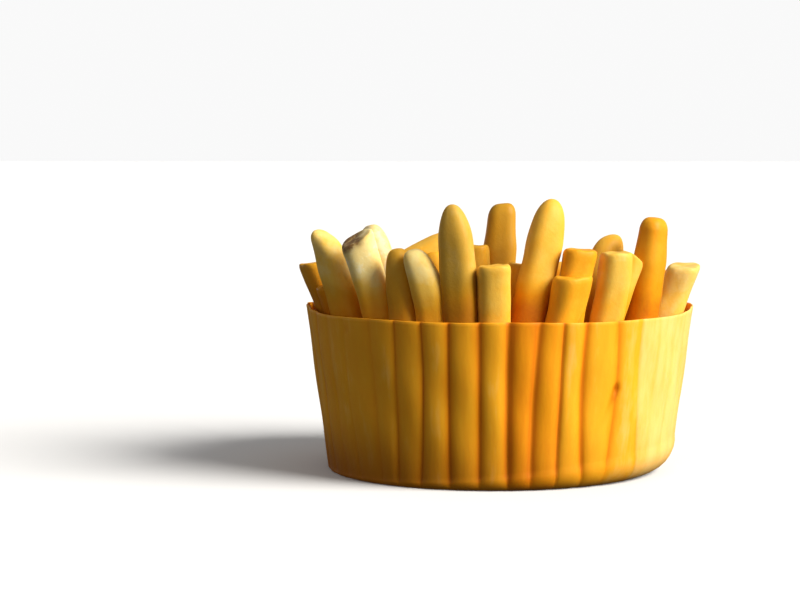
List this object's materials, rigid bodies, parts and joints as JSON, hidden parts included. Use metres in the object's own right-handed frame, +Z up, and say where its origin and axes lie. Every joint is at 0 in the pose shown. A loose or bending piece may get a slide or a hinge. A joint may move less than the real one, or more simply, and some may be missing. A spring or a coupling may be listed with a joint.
{
  "type": "french fries in a round fluted paper tub",
  "caption": "Thick-cut french fries standing on end in a low, round, tapered paper tub whose thin wall is pressed into flutes.",
  "frame": {"origin": "centre of the tub's flat foot, on the plane that the tub stands on", "axes": "+Z up out of the tub's mouth; -Y is the shown front; +X is to the right seen from the front"},
  "size_m": [0.1186, 0.1149, 0.0815],
  "materials": {
    "paper": "thin yellow paper, slightly greasy",
    "fried_potato": "golden fried, slightly oily"
  },
  "bodies": {
    "root": {"carton": "paper", "fries": "fried_potato"}
  },
  "joints": []
}
